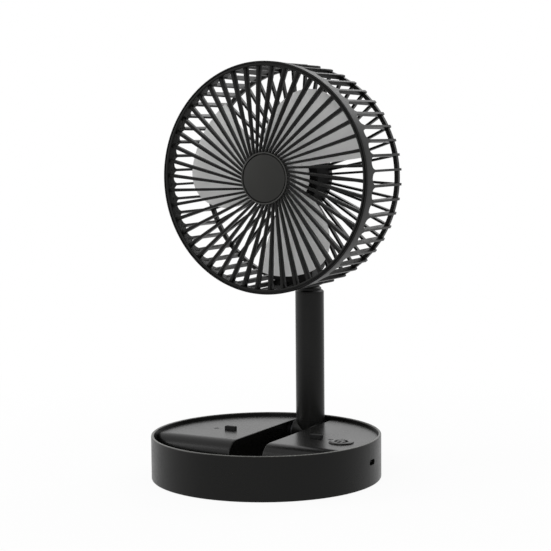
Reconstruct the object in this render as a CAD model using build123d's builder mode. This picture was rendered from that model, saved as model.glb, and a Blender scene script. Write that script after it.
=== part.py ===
from build123d import *
import os
from math import cos, pi, radians, sin, sqrt

# A folding desk fan: a dish base, a telescopic post that folds down into a trough in the base,
# and a round caged head that folds flat over it. The fan faces -Y, +Z is up, and the origin is
# the middle of the surface that the base stands on.

# Base sizes, in millimetres
base_radius = 95.0
base_height = 36.5
base_wall = 2.4
base_floor = 2.4
base_edge = 1.0
rim_round = 0.9
foot_radius = 7.0
foot_stand = 0.5
foot_inset = 17.0
foot_count = 4
deck_drop = 3.0
deck_thickness = 2.4
deck_front = 35.5
deck_roll = 13.5
trough_edge = 0.7

# Post sizes
post_radius = 12.4
tube_wall = 1.1
tube_step = 1.1
neck_rise = 26.25
spigot_length = 14.0
collar_height = 2.6
collar_depth = 12.0
collar_chamfer = 1.2
glide_length = 8.0
hinge_pin_radius = 3.0
pin_chamfer = 0.5
cheek_thickness = 2.2
washer_thickness = 0.8
washer_radius = 7.0

# Head sizes
head_depth = 68.5
hinge_rise = 22.75
ring_width = 4.0
ring_depth = 5.6
ring_round = 0.9
band_depth = 11.0
band_width = 3.0
fin_count = 48
fin_height = 4.4
fin_thickness = 2.0
fin_taper = 0.9
bar_count = 46
bar_width = 1.8
bar_depth = 5.8
bar_root_depth = 2.2
back_bar_depth = 4.0
hub_radius = 21.4
hub_recess = 3.4
hub_depth = 5.4
motor_radius = 29.6
motor_wall = 2.2
chin_width = 36.0
chin_rise = 20.0
chin_fall = 17.0
chin_depth = 16.0
ear_radius = 9.0
ear_thickness = 4.0
eye_radius = 8.5
eye_width = 13.0

# Impeller sizes
blade_count = 3
blade_thickness = 1.6
blade_front = 14.0
blade_back = 38.0
blade_lead = 8.0
blade_trail = 106.0
tip_clearance = 7.0
spinner_radius = 23.0
spinner_wall = 1.8
shaft_radius = 1.5
nut_radius = 6.5
nut_height = 3.0

# Button, board and battery sizes
button_radius = 10.0
button_travel = 0.8
button_inset = 25.0
button_row = 4.0
port_drop = 16.5
port_place = 4.5
board_width = 28.5
board_length = 44.0
board_row = 2.0
board_thickness = 1.6
socket_width = 9.0
socket_height = 3.2
socket_length = 7.4
socket_wall = 0.35
cell_radius = 9.2
screw_radius = 1.5
screw_length = 12.0
screw_head_radius = 2.1
screw_head_height = 1.3
boss_radius = 3.4
bumper_length = 10.0
bumper_width = 4.0
bumper_round = 0.5

# Clearances
seat_gap = 0.05
running_gap = 0.06
slide_gap = 0.09
part_gap = 0.15
free_gap = 0.35
fold_gap = 0.5
post_to_cage_gap = 1.1
rim_to_post_gap = 1.7
trough_gap = 0.6
cheek_gap = 0.45
port_margin = 0.6

# Heights and places that follow from the sizes
shell_inner = base_radius - base_wall
shell_floor = foot_stand + base_floor
deck_radius = shell_inner - part_gap
deck_top = base_height - deck_drop
deck_under = deck_top - deck_thickness
deck_foot = shell_floor + seat_gap
post_offset = shell_inner - rim_to_post_gap - post_radius
hinge_to_cage = post_radius + post_to_cage_gap
hinge_height = base_height + fold_gap - hinge_to_cage
trough_floor = hinge_height - post_radius - trough_gap
trough_under = max(trough_floor - deck_thickness, shell_floor + seat_gap)
cheek_inner = post_radius + cheek_gap
cheek_outer = cheek_inner + cheek_thickness
trough_width = 2 * (cheek_outer + free_gap)
trough_wall_outer = trough_width / 2 + deck_thickness
head_radius = base_radius
hinge_drop = head_radius - hinge_rise
hinge_span = post_offset + hinge_drop
head_hinge_height = hinge_height + hinge_span
head_centre = head_hinge_height + hinge_drop
post_top = head_hinge_height - neck_rise
cage_back = post_offset - hinge_to_cage
cage_front = cage_back - head_depth
fin_outer = head_radius - fin_taper
fin_inner = fin_outer - fin_height
blade_tip = fin_inner - tip_clearance

# Planes and axes of the head and of the post
head_axis = Axis((0, cage_front, head_centre), (0, 1, 0))
head_section = Plane((0, cage_front, head_centre), x_dir=(0, 1, 0), z_dir=(1, 0, 0))
post_axis = Axis((0, post_offset, 0), (0, 0, 1))
post_section = Plane((0, post_offset, 0), x_dir=(1, 0, 0), z_dir=(0, -1, 0))
base_hinge = Plane((0, post_offset, hinge_height), x_dir=(0, 1, 0), z_dir=(1, 0, 0))
head_hinge = Plane((0, post_offset, head_hinge_height), x_dir=(0, 1, 0), z_dir=(1, 0, 0))

os.makedirs("parts", exist_ok=True)


def head_plane(depth):
    """A plane square to the head's axis, this far behind the grille's front, seen from the front."""
    return Plane((0, cage_front + depth, head_centre), x_dir=(1, 0, 0), z_dir=(0, -1, 0))


def round_head(piece, count, first=0.0):
    """Copies of a piece spread evenly round the head's axis."""
    return [piece.rotate(head_axis, first + 360 * place / count) for place in range(count)]


def post_ring(outer, inner, bottom, top):
    """A plain ring round the post's axis."""
    with BuildPart() as ring:
        with BuildSketch(Plane((0, post_offset, bottom))):
            Circle(outer)
            Circle(inner, mode=Mode.SUBTRACT)
        extrude(amount=top - bottom)
    return ring.part


def post_collar(outer, bore, guided, tube_top):
    """A chamfered collar on a tube's end, lining its bore to guide the next smaller tube."""
    guide = guided + slide_gap
    top = tube_top + collar_height
    with BuildPart() as collar:
        with BuildSketch(post_section):
            with BuildLine():
                Polyline(
                    (guide, top),
                    (outer - collar_chamfer, top),
                    (outer, top - collar_chamfer),
                    (outer, tube_top + seat_gap),
                    (bore - seat_gap, tube_top + seat_gap),
                    (bore - seat_gap, tube_top - collar_depth),
                    (guide, tube_top - collar_depth),
                    close=True,
                )
            make_face()
        revolve(axis=post_axis)
    return collar.part


def deck_profile(inset, plane):
    """The deck's side outline with its rolled front edge, set in from the outer skin."""
    front = inset - deck_front
    top = deck_top - inset
    foot = deck_foot - inset
    with BuildSketch(plane) as profile:
        with BuildLine():
            wall = Line((front, foot), (front, top - deck_roll + inset))
            roll = JernArc(start=wall @ 1, tangent=wall % 1, radius=deck_roll - inset, arc_size=-90)
            Polyline(roll @ 1, (base_radius, top), (base_radius, foot), wall @ 0)
        make_face()
    return profile.sketch


# Deck fittings: the board lies against the wall, and the screws and bumpers follow from it
board_to_wall = 4.6
boss_to_board = 1.6
boss_to_wall = 6.1
bumper_to_screw = 13.5
bumper_under_rim = 0.1
front_screw_row = 10.8
boss_to_trough = 0.8
back_screw_place = trough_wall_outer + boss_to_trough + boss_radius
board_outer = shell_inner - board_to_wall
board_inner = board_outer - board_width
front_screw_place = board_inner - boss_radius - boss_to_board
back_screw_circle = deck_radius - boss_to_wall
back_screw_row = sqrt(back_screw_circle**2 - back_screw_place**2)
deck_screw_places = [
    (side * place, row)
    for place, row in ((front_screw_place, front_screw_row), (back_screw_place, back_screw_row))
    for side in (-1, 1)
]
bumper_place = front_screw_place - bumper_to_screw
bumper_row = 11.7
bumper_places = [(-bumper_place, bumper_row), (bumper_place, bumper_row)]
bumper_recess = 1.2
bumper_rise = deck_drop - bumper_under_rim
button_place = (deck_radius - button_inset, button_row)
button_rise = 0.4
port_height = base_height - port_drop
board_top = port_height - socket_height / 2 - seat_gap
board_under = board_top - board_thickness
board_middle = (board_outer + board_inner) / 2
board_post_radius = 2.4
board_post_inset = 3.2

# Base shell: a dish with a flat floor, screw bosses, board posts, foot pockets and a charging port
with BuildPart() as base_shell:
    with BuildSketch(Plane.XY.offset(foot_stand)):
        Circle(base_radius)
    extrude(amount=base_height - foot_stand)
    fillet(base_shell.edges().group_by(Axis.Z)[0], base_edge)
    with BuildSketch(Plane.XY.offset(shell_floor)):
        Circle(shell_inner)
    extrude(amount=base_height - shell_floor, mode=Mode.SUBTRACT)
    fillet(base_shell.edges().group_by(Axis.Z)[-1], rim_round)
    with BuildSketch(Plane.XY.offset(shell_floor)):
        with Locations(*deck_screw_places):
            Circle(boss_radius)
    extrude(amount=deck_under - seat_gap - shell_floor)
    with BuildSketch(Plane.XY.offset(deck_under - seat_gap)):
        with Locations(*deck_screw_places):
            Circle(screw_radius + part_gap)
    extrude(amount=-screw_length, mode=Mode.SUBTRACT)
    with BuildSketch(Plane.XY.offset(shell_floor)):
        with Locations((board_middle, board_row)):
            with GridLocations(
                board_width - 2 * board_post_inset, board_length - 2 * board_post_inset, 2, 2
            ):
                Circle(board_post_radius)
    extrude(amount=board_under - seat_gap - shell_floor)
    with BuildSketch(Plane.XY.offset(foot_stand)):
        with PolarLocations(base_radius - foot_inset, foot_count, 180 / foot_count):
            Circle(foot_radius + part_gap)
    extrude(amount=base_floor / 2, mode=Mode.SUBTRACT)
    with BuildSketch(Plane.YZ.offset(base_radius)):
        with Locations((port_place, port_height)):
            SlotOverall(socket_width + 2 * port_margin, socket_height + 2 * port_margin)
    extrude(amount=-2 * base_wall, mode=Mode.SUBTRACT)
base_shell.part.label = "base_shell"
export_step(base_shell.part, "parts/base_shell.step")

# Deck: a skin with a rolled front edge, split by the trough that takes the folded post
bracket_reach = 10.6
trough_end = post_offset - post_radius - trough_gap
with BuildPart() as base_deck:
    extrude(deck_profile(0, Plane.YZ), amount=deck_radius, both=True)
    with BuildSketch():
        Circle(deck_radius)
    extrude(amount=base_height, mode=Mode.INTERSECT)
    for side in (-1, 1):
        extrude(
            deck_profile(deck_thickness, Plane.YZ.offset(side * trough_wall_outer)),
            amount=side * deck_radius,
            mode=Mode.SUBTRACT,
        )
    with BuildSketch(Plane.XY.offset(trough_floor)):
        Rectangle(trough_width, 2 * base_radius)
    extrude(amount=base_height, mode=Mode.SUBTRACT)
    with BuildSketch(Plane.XY.offset(trough_under)):
        with Locations((0, deck_thickness - deck_front)):
            Rectangle(trough_width, 2 * base_radius, align=(Align.CENTER, Align.MIN))
    extrude(amount=-trough_under, mode=Mode.SUBTRACT)
    with BuildSketch(Plane.XY.offset(trough_floor)):
        with Locations((0, trough_end)):
            Rectangle(trough_width, base_radius, align=(Align.CENTER, Align.MIN))
    extrude(amount=-trough_floor, mode=Mode.SUBTRACT)
    trough_lips = (
        base_deck.edges()
        .filter_by(Axis.Y)
        .filter_by_position(Axis.Z, deck_top - seat_gap, deck_top + seat_gap)
        .filter_by_position(Axis.X, -trough_width / 2 - seat_gap, trough_width / 2 + seat_gap)
    )
    fillet(trough_lips, trough_edge)
    with BuildSketch(Plane.XY.offset(deck_top)):
        with Locations(*bumper_places):
            RectangleRounded(bumper_length + part_gap, bumper_width + part_gap, bumper_round)
    extrude(amount=-bumper_recess, mode=Mode.SUBTRACT)
    with BuildSketch(Plane.XY.offset(deck_top)):
        with Locations(button_place):
            Circle(button_radius + free_gap)
    extrude(amount=-2 * deck_thickness, mode=Mode.SUBTRACT)
    with Locations(Plane.XY.offset(deck_top)):
        with Locations(*deck_screw_places):
            CounterBoreHole(
                radius=screw_radius + part_gap,
                counter_bore_radius=screw_head_radius + part_gap,
                counter_bore_depth=screw_head_height + part_gap,
                depth=2 * deck_thickness,
            )
base_deck.part.label = "base_deck"
export_step(base_deck.part, "parts/base_deck.step")

# Rubber feet, pressed into the pockets under the base
with BuildPart() as rubber_feet:
    with BuildSketch():
        with PolarLocations(base_radius - foot_inset, foot_count, 180 / foot_count):
            Circle(foot_radius)
    extrude(amount=foot_stand + base_floor / 2 - seat_gap)
    fillet(rubber_feet.edges().group_by(Axis.Z)[0], foot_stand / 2)
rubber_feet.part.label = "rubber_feet"
export_step(rubber_feet.part, "parts/rubber_feet.step")

# Rubber bumpers that the folded head lies on
with BuildPart() as deck_bumpers:
    with BuildSketch(Plane.XY.offset(deck_top - bumper_recess + seat_gap)):
        with Locations(*bumper_places):
            RectangleRounded(bumper_length, bumper_width, bumper_round)
    extrude(amount=bumper_recess - seat_gap + bumper_rise)
    fillet(deck_bumpers.edges().group_by(Axis.Z)[-1], bumper_round - bumper_under_rim)
deck_bumpers.part.label = "deck_bumpers"
export_step(deck_bumpers.part, "parts/deck_bumpers.step")

# Circuit board under the button, on its four posts
board_round = 2.0
with BuildPart() as circuit_board:
    with BuildSketch(Plane.XY.offset(board_under)):
        with Locations((board_middle, board_row)):
            RectangleRounded(board_width, board_length, board_round)
    extrude(amount=board_thickness)
circuit_board.part.label = "circuit_board"
export_step(circuit_board.part, "parts/circuit_board.step")

# Push switch on the board, under the button's stem
switch_side = 6.2
switch_round = 0.5
switch_body = 3.6
switch_plunger = 1.75
switch_to_deck = 5.0
switch_top = deck_under - switch_to_deck
with BuildPart() as push_switch:
    with BuildSketch(Plane.XY.offset(board_top + seat_gap)):
        with Locations(button_place):
            RectangleRounded(switch_side, switch_side, switch_round)
    extrude(amount=switch_body)
    with BuildSketch(Plane.XY.offset(board_top + switch_body)):
        with Locations(button_place):
            Circle(switch_plunger)
    extrude(amount=switch_top - board_top - switch_body)
push_switch.part.label = "push_switch"
export_step(push_switch.part, "parts/push_switch.step")

# Power button: a shallow crowned cap with a flange under the deck and a stem over the switch
button_top = deck_top + button_rise
button_crown = 0.5
flange_top = deck_under - free_gap
flange_thickness = 1.0
flange_radius = button_radius + 1.0
stem_foot = switch_top + button_travel + seat_gap
button_section = Plane((*button_place, 0), x_dir=(1, 0, 0), z_dir=(0, -1, 0))
with BuildPart() as power_button:
    with BuildSketch(button_section):
        with BuildLine():
            crown = ThreePointArc(
                (0, button_top),
                (button_radius / 2, button_top - button_crown / 4),
                (button_radius, button_top - button_crown),
            )
            Polyline(
                crown @ 1,
                (button_radius, flange_top),
                (flange_radius, flange_top),
                (flange_radius, flange_top - flange_thickness),
                (switch_plunger, flange_top - flange_thickness),
                (switch_plunger, stem_foot),
                (0, stem_foot),
                crown @ 0,
            )
        make_face()
    revolve(axis=Axis((*button_place, 0), (0, 0, 1)))
power_button.part.label = "power_button"
export_step(power_button.part, "parts/power_button.step")

# Charging socket: a metal shell round a contact tongue, its mouth in the wall's port
socket_mouth = sqrt(shell_inner**2 - (port_place + socket_width / 2) ** 2) - part_gap
socket_back = 1.2
tongue_set_back = 1.0
tongue_margin = 1.2
tongue_width = socket_width - 2 * tongue_margin
tongue_thickness = 0.7
with BuildPart() as charge_socket:
    with BuildSketch(Plane.YZ.offset(socket_mouth)):
        with Locations((port_place, port_height)):
            SlotOverall(socket_width, socket_height)
    extrude(amount=-socket_length)
    with BuildSketch(Plane.YZ.offset(socket_mouth)):
        with Locations((port_place, port_height)):
            SlotOverall(socket_width - 2 * socket_wall, socket_height - 2 * socket_wall)
    extrude(amount=socket_back - socket_length, mode=Mode.SUBTRACT)
    with BuildSketch(Plane.YZ.offset(socket_mouth - tongue_set_back)):
        with Locations((port_place, port_height)):
            Rectangle(tongue_width, tongue_thickness)
    extrude(amount=tongue_set_back - socket_length)
charge_socket.part.label = "charge_socket"
export_step(charge_socket.part, "parts/charge_socket.step")

# Battery cells on the side of the trough that has no board, each in a cradle on the floor
cell_rows = (-11.5, 25.5)
cell_gap = 1.0
cell_chamfer = 0.6
cradle_plate = 2.0
cradle_inset = 5.0
cell_start = trough_wall_outer + cell_gap
cell_reach = sqrt((shell_inner - cell_gap) ** 2 - (cell_rows[1] + cell_radius) ** 2)
cell_length = cell_reach - cell_start
cell_height = shell_floor + cradle_plate + cell_radius
cradle_rise = cradle_plate + cell_radius / 2
with BuildPart() as battery_cells:
    for row in cell_rows:
        with BuildSketch(Plane((-cell_start, row, cell_height), x_dir=(0, -1, 0), z_dir=(-1, 0, 0))):
            Circle(cell_radius)
        extrude(amount=cell_length)
    chamfer(battery_cells.edges().filter_by(GeomType.CIRCLE), cell_chamfer)
battery_cells.part.label = "battery_cells"
export_step(battery_cells.part, "parts/battery_cells.step")

with BuildPart() as battery_cradles:
    for row in cell_rows:
        cradle_end = (-cell_start - cradle_inset, row, shell_floor + seat_gap)
        with BuildSketch(Plane(cradle_end, x_dir=(0, -1, 0), z_dir=(-1, 0, 0))):
            Rectangle(2 * cell_radius, cradle_rise, align=(Align.CENTER, Align.MIN))
            with Locations((0, cradle_plate + cell_radius - seat_gap)):
                Circle(cell_radius + seat_gap, mode=Mode.SUBTRACT)
        extrude(amount=cell_length - 2 * cradle_inset)
battery_cradles.part.label = "battery_cradles"
export_step(battery_cradles.part, "parts/battery_cradles.step")

# Post hinge: a folded metal bracket on the floor, its pin and two friction washers
knuckle_half = cheek_inner - washer_thickness - 2 * seat_gap
bracket_plate = 2.2
with BuildPart() as post_hinge_bracket:
    with BuildSketch(Plane.XY.offset(shell_floor + seat_gap)):
        with Locations((0, post_offset)):
            Rectangle(2 * cheek_outer, 2 * bracket_reach)
    extrude(amount=bracket_plate)
    with BuildSketch(base_hinge):
        Circle(post_radius + free_gap)
    extrude(amount=cheek_inner, both=True, mode=Mode.SUBTRACT)
    for side in (-1, 1):
        with BuildSketch(base_hinge.offset(side * cheek_inner)):
            Circle(ear_radius)
            Rectangle(
                2 * ear_radius,
                hinge_height - shell_floor - seat_gap,
                align=(Align.CENTER, Align.MAX),
            )
            Circle(hinge_pin_radius + running_gap, mode=Mode.SUBTRACT)
        extrude(amount=side * cheek_thickness)
post_hinge_bracket.part.label = "post_hinge_bracket"
export_step(post_hinge_bracket.part, "parts/post_hinge_bracket.step")

with BuildPart() as post_hinge_pin:
    with BuildSketch(base_hinge):
        Circle(hinge_pin_radius)
    extrude(amount=cheek_outer + part_gap / 2, both=True)
    chamfer(post_hinge_pin.edges().filter_by(GeomType.CIRCLE), pin_chamfer)
post_hinge_pin.part.label = "post_hinge_pin"
export_step(post_hinge_pin.part, "parts/post_hinge_pin.step")

with BuildPart() as post_hinge_washers:
    for side in (-1, 1):
        with BuildSketch(base_hinge.offset(side * (knuckle_half + seat_gap))):
            Circle(washer_radius)
            Circle(hinge_pin_radius + running_gap, mode=Mode.SUBTRACT)
        extrude(amount=side * washer_thickness)
post_hinge_washers.part.label = "post_hinge_washers"
export_step(post_hinge_washers.part, "parts/post_hinge_washers.step")

# Post foot: a knuckle round the hinge pin that turns into a round spigot for the outer tube
tube_foot = hinge_height + post_radius
tube_bore = post_radius - tube_wall
knuckle_shoulder = hinge_height + washer_radius + 1.0
with BuildPart() as post_knuckle:
    with BuildSketch(base_hinge):
        Circle(post_radius - part_gap)
    extrude(amount=knuckle_half, both=True)
    with BuildSketch(Plane((0, post_offset, knuckle_shoulder))):
        Circle(post_radius)
    extrude(amount=tube_foot - knuckle_shoulder)
    with BuildSketch(Plane((0, post_offset, hinge_height))):
        Circle(knuckle_half)
    extrude(amount=post_radius)
    with BuildSketch(Plane((0, post_offset, tube_foot))):
        Circle(tube_bore - seat_gap)
    extrude(amount=spigot_length)
    with BuildSketch(base_hinge):
        Circle(hinge_pin_radius + running_gap)
    extrude(amount=post_radius, both=True, mode=Mode.SUBTRACT)
post_knuckle.part.label = "post_knuckle"
export_step(post_knuckle.part, "parts/post_knuckle.step")

# Telescopic tubes: each smaller one slides in a collar on the tube below and on a glide of its own
tube_foot_gap = 2.0
middle_radius = tube_bore - tube_step
middle_bore = middle_radius - tube_wall
inner_radius = middle_bore - tube_step
inner_bore = inner_radius - tube_wall
outer_tube_top = post_top - collar_height
middle_foot = tube_foot + spigot_length + tube_foot_gap
middle_tube_top = post_top + free_gap
middle_top = middle_tube_top + collar_height
inner_foot = middle_foot + tube_foot_gap
inner_tube_top = middle_top + free_gap

with BuildPart() as outer_tube:
    add(post_ring(post_radius, tube_bore, tube_foot + seat_gap, outer_tube_top))
outer_tube.part.label = "outer_tube"
export_step(outer_tube.part, "parts/outer_tube.step")

with BuildPart() as outer_collar:
    add(post_collar(post_radius, tube_bore, middle_radius, outer_tube_top))
outer_collar.part.label = "outer_collar"
export_step(outer_collar.part, "parts/outer_collar.step")

with BuildPart() as middle_tube:
    add(post_ring(middle_radius, middle_bore, middle_foot, middle_tube_top))
middle_tube.part.label = "middle_tube"
export_step(middle_tube.part, "parts/middle_tube.step")

with BuildPart() as middle_glide:
    add(
        post_ring(
            tube_bore - slide_gap, middle_radius + seat_gap, middle_foot, middle_foot + glide_length
        )
    )
middle_glide.part.label = "middle_glide"
export_step(middle_glide.part, "parts/middle_glide.step")

with BuildPart() as middle_collar:
    add(post_collar(middle_radius, middle_bore, inner_radius, middle_tube_top))
middle_collar.part.label = "middle_collar"
export_step(middle_collar.part, "parts/middle_collar.step")

with BuildPart() as inner_tube:
    add(post_ring(inner_radius, inner_bore, inner_foot, inner_tube_top))
inner_tube.part.label = "inner_tube"
export_step(inner_tube.part, "parts/inner_tube.step")

with BuildPart() as inner_glide:
    add(
        post_ring(
            middle_bore - slide_gap, inner_radius + seat_gap, inner_foot, inner_foot + glide_length
        )
    )
inner_glide.part.label = "inner_glide"
export_step(inner_glide.part, "parts/inner_glide.step")

# Neck: a plug in the inner tube, a shoulder over the collar, and a stem up to the head hinge's eye
neck_shoulder = inner_tube_top + seat_gap
shoulder_height = 3.0
shoulder_lip = 0.8
shoulder_radius = inner_radius + shoulder_lip
stem_depth = 2 * eye_radius - 2.0
stem_round = 4.0
with BuildPart() as neck:
    with BuildSketch(Plane((0, post_offset, neck_shoulder - collar_depth))):
        Circle(inner_bore - seat_gap)
    extrude(amount=collar_depth + shoulder_height)
    with BuildSketch(Plane((0, post_offset, neck_shoulder))):
        Circle(shoulder_radius)
    extrude(amount=shoulder_height)
    with BuildSketch(Plane((0, post_offset, neck_shoulder))):
        RectangleRounded(eye_width, stem_depth, stem_round)
    extrude(amount=head_hinge_height - neck_shoulder)
    with BuildSketch(head_hinge):
        Circle(eye_radius)
    extrude(amount=eye_width / 2, both=True)
    with BuildSketch(head_hinge):
        Circle(hinge_pin_radius + running_gap)
    extrude(amount=eye_width, both=True, mode=Mode.SUBTRACT)
neck.part.label = "neck"
export_step(neck.part, "parts/neck.step")

# Head hinge: a pin through the eye and the ears, a friction washer each side, and end caps
ear_inner = eye_width / 2 + washer_thickness + 2 * seat_gap
ear_outer = ear_inner + ear_thickness
cap_thickness = 1.6
cap_chamfer = 0.6
with BuildPart() as head_hinge_pin:
    with BuildSketch(head_hinge):
        Circle(hinge_pin_radius)
    extrude(amount=ear_outer - seat_gap, both=True)
    chamfer(head_hinge_pin.edges().filter_by(GeomType.CIRCLE), pin_chamfer)
head_hinge_pin.part.label = "head_hinge_pin"
export_step(head_hinge_pin.part, "parts/head_hinge_pin.step")

with BuildPart() as head_hinge_washers:
    for side in (-1, 1):
        with BuildSketch(head_hinge.offset(side * (eye_width / 2 + seat_gap))):
            Circle(washer_radius)
            Circle(hinge_pin_radius + running_gap, mode=Mode.SUBTRACT)
        extrude(amount=side * washer_thickness)
head_hinge_washers.part.label = "head_hinge_washers"
export_step(head_hinge_washers.part, "parts/head_hinge_washers.step")

with BuildPart() as head_hinge_caps:
    for side in (-1, 1):
        with BuildSketch(head_hinge.offset(side * (ear_outer + seat_gap))):
            Circle(washer_radius)
        extrude(amount=side * cap_thickness)
    chamfer(head_hinge_caps.edges().group_by(Axis.X)[0], cap_chamfer)
    chamfer(head_hinge_caps.edges().group_by(Axis.X)[-1], cap_chamfer)
head_hinge_caps.part.label = "head_hinge_caps"
export_step(head_hinge_caps.part, "parts/head_hinge_caps.step")

# Head bracket: a plate on the cage's chin with the hinge's two ears
bracket_thickness = 2.8
bracket_round = 3.0
bracket_seat = head_depth + seat_gap
bracket_margin = 3.0
bracket_width = 2 * (ear_outer + bracket_margin)
bracket_height = chin_rise + chin_fall - 1.0
bracket_screw_row = ear_radius + 4.0
bracket_screw_depth = 7.0
bracket_screw_places = [
    (side * ear_outer, row * bracket_screw_row - hinge_drop) for side in (-1, 1) for row in (-1, 1)
]
with BuildPart() as head_bracket:
    with BuildSketch(head_plane(bracket_seat)):
        with Locations((0, (chin_rise - chin_fall) / 2 - hinge_drop)):
            RectangleRounded(bracket_width, bracket_height, bracket_round)
        with Locations(*bracket_screw_places):
            Circle(screw_radius + part_gap, mode=Mode.SUBTRACT)
    extrude(amount=-bracket_thickness)
    for side in (-1, 1):
        with BuildSketch(head_hinge.offset(side * ear_inner)):
            Circle(ear_radius)
            Rectangle(
                hinge_to_cage - seat_gap - bracket_thickness / 2,
                2 * ear_radius,
                align=(Align.MAX, Align.CENTER),
            )
            Circle(hinge_pin_radius + running_gap, mode=Mode.SUBTRACT)
        extrude(amount=side * ear_thickness)
head_bracket.part.label = "head_bracket"
export_step(head_bracket.part, "parts/head_bracket.step")

# Rear cage: a band behind the front ring, fins that turn into the bars of the back, a hoop and a chin
cage_set_in = 0.3
band_front = ring_depth + free_gap
band_outer = head_radius - cage_set_in
band_inner = band_outer - band_width
groove_depth = 0.8
scallop_radius = (2 * pi * fin_outer / fin_count - fin_thickness) / 2 - part_gap
hoop_width = 3.4
hoop_set_in = 1.5
hoop_outer = fin_outer - hoop_set_in
hoop_back = head_depth - hoop_set_in
hoop_depth = 3.6
mount_width = 3.6
mount_inner = motor_radius - mount_width
mount_middle = motor_radius - mount_width / 2
mount_step = 0.8
mount_depth = back_bar_depth + mount_step
fin_round = 1.6
fin_front = band_front + 1.0
with BuildPart() as fin:
    with BuildSketch(head_section) as fin_outline:
        with BuildLine():
            Polyline(
                (fin_front, band_outer - cage_set_in),
                (head_depth, fin_outer),
                (head_depth, mount_middle),
                (head_depth - back_bar_depth, mount_middle),
                (head_depth - back_bar_depth, fin_inner),
                (fin_front, band_inner - cage_set_in),
                close=True,
            )
        make_face()
        fillet(fin_outline.vertices().group_by(Axis.X)[-1].sort_by(Axis.Y)[-1], fin_round)
    extrude(amount=fin_thickness / 2, both=True)

with BuildPart() as scallop:
    with BuildSketch(Plane((0, cage_front + band_depth + scallop_radius, head_centre))):
        Circle(scallop_radius)
    extrude(amount=2 * head_radius)

with BuildPart() as rear_cage:
    with BuildSketch(head_plane(band_front)):
        Circle(band_outer)
        Circle(band_inner, mode=Mode.SUBTRACT)
    extrude(amount=band_front - band_depth - scallop_radius)
    with BuildSketch(head_plane(ring_depth + seat_gap)):
        Circle(band_outer - groove_depth)
        Circle(band_inner, mode=Mode.SUBTRACT)
    extrude(amount=-free_gap)
    add(round_head(scallop.part, fin_count), mode=Mode.SUBTRACT)
    with BuildSketch(head_plane(hoop_back)):
        Circle(hoop_outer)
        Circle(hoop_outer - hoop_width, mode=Mode.SUBTRACT)
    extrude(amount=hoop_depth)
    with BuildSketch(head_plane(head_depth)):
        Circle(motor_radius)
        Circle(mount_inner, mode=Mode.SUBTRACT)
    extrude(amount=mount_depth)
    add(round_head(fin.part, fin_count, first=180 / fin_count))
    with BuildSketch(head_plane(head_depth)):
        with Locations((0, chin_rise - hinge_drop)):
            Rectangle(chin_width, head_radius, align=(Align.CENTER, Align.MAX))
        Circle(fin_outer - cage_set_in, mode=Mode.INTERSECT)
    extrude(amount=chin_depth)
    with BuildSketch(head_plane(head_depth)):
        with Locations(*bracket_screw_places):
            Circle(screw_radius + part_gap)
    extrude(amount=bracket_screw_depth, mode=Mode.SUBTRACT)
rear_cage.part.label = "rear_cage"
export_step(rear_cage.part, "parts/rear_cage.step")

# Front grille: a ring with a seam round its face, bars that lean in to the hub behind its rim,
# shallower there than at the ring, and the hub's cup
bar_front = 2.4
bar_first = 2.2
hub_rim = 1.9
disc_radius = hub_radius - hub_rim
disc_recess = 3.2
bar_start = hub_radius - 1.0
bar_lap = 0.2
bar_end = head_radius - ring_width + bar_lap
bar_behind_rim = 0.8
seam_land = 1.9
seam_width = 0.9
seam_depth = 1.2
seam_inner = head_radius - ring_width + seam_land
with BuildPart() as bar:
    with BuildSketch(head_section):
        with BuildLine():
            Polyline(
                (bar_front, bar_end),
                (bar_front + bar_depth, bar_end),
                (hub_recess + bar_behind_rim + bar_root_depth, bar_start),
                (hub_recess + bar_behind_rim, bar_start),
                close=True,
            )
        make_face()
    extrude(amount=bar_width / 2, both=True)

with BuildPart() as front_grille:
    with BuildSketch(head_plane(0)):
        Circle(head_radius)
        Circle(head_radius - ring_width, mode=Mode.SUBTRACT)
    extrude(amount=-ring_depth)
    fillet(front_grille.edges().group_by(Axis.Y)[0], ring_round)
    with BuildSketch(head_plane(0)):
        Circle(seam_inner + seam_width)
        Circle(seam_inner, mode=Mode.SUBTRACT)
    extrude(amount=-seam_depth, mode=Mode.SUBTRACT)
    add(round_head(bar.part, bar_count, first=90 - bar_first))
    with BuildSketch(head_plane(hub_recess)):
        Circle(hub_radius)
    extrude(amount=-hub_depth)
    with BuildSketch(head_plane(hub_recess)):
        Circle(disc_radius + part_gap)
    extrude(amount=-disc_recess, mode=Mode.SUBTRACT)
front_grille.part.label = "front_grille"
export_step(front_grille.part, "parts/front_grille.step")

# Hub disc: a plain cover pressed into the hub's cup
disc_set_back = 0.5
disc_round = 0.5
with BuildPart() as hub_disc:
    with BuildSketch(head_plane(hub_recess + disc_set_back)):
        Circle(disc_radius)
    extrude(amount=disc_set_back + seat_gap - disc_recess)
    fillet(hub_disc.edges().group_by(Axis.Y)[0], disc_round)
hub_disc.part.label = "hub_disc"
export_step(hub_disc.part, "parts/hub_disc.step")

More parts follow.
